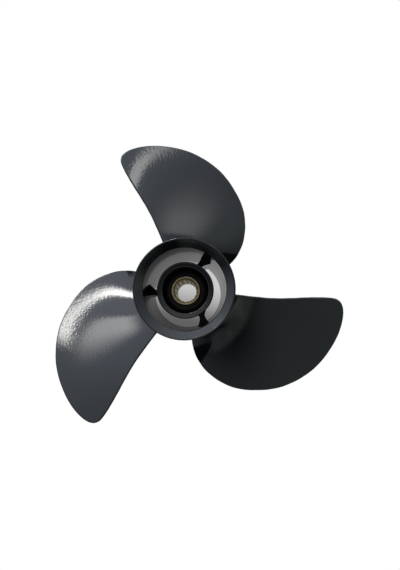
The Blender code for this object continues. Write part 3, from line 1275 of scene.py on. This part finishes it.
@dataclass
class Sleeve(SubAssembly):
    """The brass sleeve. A cone leads in to its splines from aft, and the front of its bore is plain."""

    splines: int = 14
    tooth_radius: float = 0.00765
    root_radius: float = 0.0083
    spline_front: float = 0.024
    cone_radius: float = 0.0094
    cone_depth: float = 0.0018
    chamfer: float = 0.0003
    steps_per_spline: int = 24
    arc_steps: int = 4
    length_rows: int = 12
    # The middle of a tooth, half its crest's width and the width of a flank, as shares of one spline
    tooth_middle: float = -0.16
    crest_half: float = 0.15
    flank: float = 0.11
    slot: ClassVar[Slot] = Slot.BRASS
    node: ClassVar[Node] = Node.SLEEVE

    def tooth_height(self, angle: np.ndarray) -> np.ndarray:
        """How far the teeth stand in from the root circle: in full over each crest, by a step on the flanks.

        Args:
            angle: Angles round the shaft axis.

        Returns:
            The height at each angle.
        """
        share = angle * self.splines / FULL_TURN - self.tooth_middle
        away = np.abs(share - np.round(share))
        step = np.clip((away - self.crest_half) / self.flank, 0.0, 1.0)
        return (self.root_radius - self.tooth_radius) * (1.0 - smooth_step(step))

    def rings(self) -> np.ndarray:
        """The rings of points from the front, up the outside, in over the cone and down the bore.

        Returns:
            For each ring its radius, its height and the share of the teeth's height that it has.
        """
        low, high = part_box(self.node.value)
        cone_end = high.z - self.cone_depth
        edge = self.chamfer
        corners = [
            (self.root_radius, low.z, edge),
            (high.x, low.z, edge),
            (high.x, high.z, edge),
            (self.cone_radius, high.z, 0.3 * edge),
            (self.root_radius, cone_end, 0.3 * edge),
        ]
        plain = rounded(corners, self.arc_steps)
        heights = np.linspace(cone_end - 2.0 * edge, self.spline_front + edge, self.length_rows)
        heights = np.concatenate([[cone_end - edge], heights, [self.spline_front, self.spline_front - edge]])
        teeth = np.concatenate([[0.0], np.ones(self.length_rows), [0.0, 0.0]])
        radii = np.full(len(heights), self.root_radius)
        outside = np.column_stack([plain, np.zeros(len(plain))])
        return np.concatenate([outside, np.column_stack([radii, heights, teeth])])

    def surfaces(self) -> dict[str, Surface]:
        """The rings in the solid's place, with the teeth standing in from them.

        Returns:
            The sleeve by its name.
        """
        radius, height, teeth = self.rings().T[..., None]
        angle = angles_round(self.splines * self.steps_per_spline)
        return {"brass_sleeve": ringed(radius - teeth * self.tooth_height(angle), height)}


@dataclass(frozen=True)
class Glow:
    """A soft round patch in the room, in degrees. A negative radiance darkens the room there.

    It may be cut off at a height, in a smooth step between two heights of the direction.
    """

    azimuth: float
    tilt: float
    reach: float
    core: float
    radiance: float
    heights: tuple | None = None

    def level(self, tree: ShaderTree, ray: Socket) -> Signal:
        """The light that this patch adds: a smooth step of the angle to its middle, and one of the height.

        Args:
            tree: The world's tree.
            ray: The direction.

        Returns:
            The radiance.
        """
        cosine = tree.along(ray, direction(self.azimuth, self.tilt)) * JUST_BELOW_ONE
        angle = tree.math("ARCCOSINE", cosine)
        level = tree.range(angle, math.radians(self.reach), math.radians(self.core)) * self.radiance
        if self.heights is None:
            return level
        return level * tree.range(tree.along(ray, UP), *self.heights)


@dataclass(frozen=True)
class Bend:
    """A line in the room that comes up from the table, turns a rounded corner and runs on overhead.

    Its upright leg is the vertical plane of one azimuth. Its upper leg is the great circle that is
    closest to the zenith at a second azimuth and a tilt.
    """

    side: float
    top_azimuth: float
    top_tilt: float
    corner: float
    facing: float = 1.0

    def inside(self, tree: ShaderTree, ray: Socket) -> Signal:
        """How far a direction is inside the bend: the smooth least of the sines to its two legs.

        Args:
            tree: The world's tree.
            ray: The direction.

        Returns:
            The sine, below zero outside.
        """
        upright = tuple(self.facing * part for part in direction(self.side + 90.0))
        upper = tuple(-part for part in direction(self.top_azimuth + 180.0, LEVEL - self.top_tilt))
        return tree.math("SMOOTH_MIN", tree.along(ray, upright), tree.along(ray, upper), self.corner)


@dataclass(frozen=True)
class Strip:
    """A strip light between two bends. It fades out near the table, and past an end azimuth if it has one."""

    outer: Bend
    inner: Bend
    radiance: float
    outer_edge: float
    inner_edge: float
    heights: tuple = (0.22, 0.27)
    end: float | None = None
    end_edge: float = 0.1

    def level(self, tree: ShaderTree, ray: Socket) -> Signal:
        """The light that this strip adds: smooth steps at both bends, at the table and at its end.

        Args:
            tree: The world's tree.
            ray: The direction.

        Returns:
            The radiance.
        """
        level = tree.range(self.outer.inside(tree, ray), 0.0, self.outer_edge) * self.radiance
        level = level * tree.range(self.inner.inside(tree, ray), 0.0, -self.inner_edge)
        level = level * tree.range(tree.along(ray, UP), *self.heights)
        if self.end is None:
            return level
        return level * tree.range(tree.along(ray, direction(self.end - 90.0)), 0.0, self.end_edge)


@dataclass
class Studio:
    """A white table, soft light, and the camera that looks down on the aft ring."""

    floor_size: float = 6.0
    camera_place: tuple = (0.01046, -0.01568, 0.27873)
    camera_tilt: float = 5.0
    clip_start: float = 0.01
    sensor: float = 36.0
    # The focal length and the picture's long side, in pixels
    focal_length: float = 310.44
    picture_height: float = 570.0
    room_least: float = 0.18
    room_level: float = 0.22
    room_contrast: float = 2.1
    room_side: tuple = direction(110.0, 58.0)
    darkest: float = 0.02
    overhead_heights: tuple = (0.985, 0.87)
    overhead_levels: tuple = (0.12, 1.0)
    bright_tint: tuple = (0.90, 0.98, 1.12, 1.0)
    dark_tint: tuple = (0.94, 1.05, 1.00, 1.0)
    tint_ends: tuple = (-0.4, 0.4)
    light_tint: tuple = (1.02, 1.00, 0.96, 1.0)
    patches: tuple = (
        Glow(226.0, 75.0, 50.0, 12.0, -0.30),
        Glow(280.0, 95.0, 45.0, 15.0, -0.35),
        Glow(262.0, 88.0, 25.0, 5.0, 0.6),
        *(Glow(azimuth, 69.0, 16.0, 6.0, 0.28, (0.49, 0.42)) for azimuth in (223.0, 244.0, 265.0)),
        Glow(180.0, 42.0, 30.0, 8.0, -0.10),
        Glow(354.0, 56.0, 26.0, 6.0, 0.36),
    )
    lights: tuple = (
        Strip(
            outer=Bend(100.2, 157.0, 40.9, 0.20),
            inner=Bend(108.0, 157.5, 45.4, 0.33),
            radiance=24.0,
            outer_edge=0.07,
            inner_edge=0.025,
            end=151.0,
            end_edge=0.12,
        ),
        Strip(
            outer=Bend(124.0, 166.0, 43.9, 0.25),
            inner=Bend(145.0, 198.0, 39.0, 0.50),
            radiance=4.6,
            outer_edge=0.05,
            inner_edge=0.19,
            heights=(0.12, 0.40),
            end=165.0,
            end_edge=0.26,
        ),
        Strip(
            outer=Bend(67.7, 34.5, 37.0, 0.013, -1.0),
            inner=Bend(59.8, 24.0, 37.0, 0.044, -1.0),
            radiance=5.0,
            outer_edge=0.018,
            inner_edge=0.03,
            heights=(0.5, 0.65),
        ),
        Glow(22.0, 63.0, 26.0, 4.0, 1.4, (0.30, 0.37)),
        Glow(250.0, 8.0, 14.0, 4.0, 1.0),
    )

    def build(self) -> None:
        """Sets up the floor, the room and the camera."""
        self.build_floor()
        self.build_room()
        self.build_camera()

    def build_floor(self) -> None:
        """A white square table."""
        half = 0.5 * self.floor_size
        corners = [(-half, -half, 0.0), (half, -half, 0.0), (half, half, 0.0), (-half, half, 0.0)]
        mesh = bpy.data.meshes.new("white_floor")
        mesh.from_pydata(corners, [], [(0, 1, 2, 3)])
        mesh.materials.append(WhiteTable().build())
        floor = bpy.data.objects.new("white_floor", mesh)
        bpy.context.scene.collection.objects.link(floor)

    def build_room(self) -> None:
        """A room that is brighter on one side and dark overhead, with soft lights, and white to the camera.

        Its level is an exponential of how far a direction reaches to the bright side, plus the patches.
        """
        world = bpy.data.worlds.new("studio_room")
        world.use_nodes = True
        bpy.context.scene.world = world
        tree = ShaderTree(world.node_tree)
        ray = tree.node("ShaderNodeTexCoord").outputs["Generated"]
        towards = tree.along(ray, self.room_side)
        level = tree.math("EXPONENT", towards * self.room_contrast) * self.room_level + self.room_least
        for patch in self.patches:
            level = level + patch.level(tree, ray)
        overhead = tree.range(tree.along(ray, UP), *self.overhead_heights, *self.overhead_levels)
        tint = tree.mix_color(tree.range(towards, *self.tint_ends), self.dark_tint, self.bright_tint)
        first, *others = (light.level(tree, ray) for light in self.lights)
        room = tree.background(tint, tree.math("MAXIMUM", level, self.darkest) * overhead)
        lamps = tree.background(self.light_tint, sum(others, first))
        both = tree.node("ShaderNodeAddShader", None, {0: room, 1: lamps}).outputs[0]
        white = tree.background(gray(1.0), 1.0)
        tree.show(tree.mix_shader(tree.seen(), both, white), "ShaderNodeOutputWorld")

    def build_camera(self) -> None:
        """The camera, whose focal length is a share of the picture's long side."""
        camera = bpy.data.cameras.new("camera")
        camera.sensor_width = self.sensor
        camera.lens = self.sensor * (self.focal_length / self.picture_height)
        camera.clip_start = self.clip_start
        made = bpy.data.objects.new("camera", camera)
        made.location = self.camera_place
        made.rotation_euler = (math.radians(self.camera_tilt), 0.0, 0.0)
        bpy.context.scene.collection.objects.link(made)
        bpy.context.scene.camera = made
        bpy.context.scene.view_settings.view_transform = "Standard"


def main() -> None:
    """Builds the studio and the propeller."""
    logging.basicConfig(level=logging.INFO, format="%(message)s")
    Studio().build()
    paint = SlatePaint().build()
    barrel = Barrel(length=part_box(Node.CASTING.value)[1].z)
    hub_paint = HubPaint().build()
    barrel.build(hub_paint)
    boss = Boss(barrel)
    boss.build(paint)
    Ribs(barrel, boss).build(hub_paint)
    Blades(barrel).build(paint)
    Bush().build(BlackRubber().build())
    Sleeve().build(DullBrass().build())


if __name__ == "__main__":
    main()
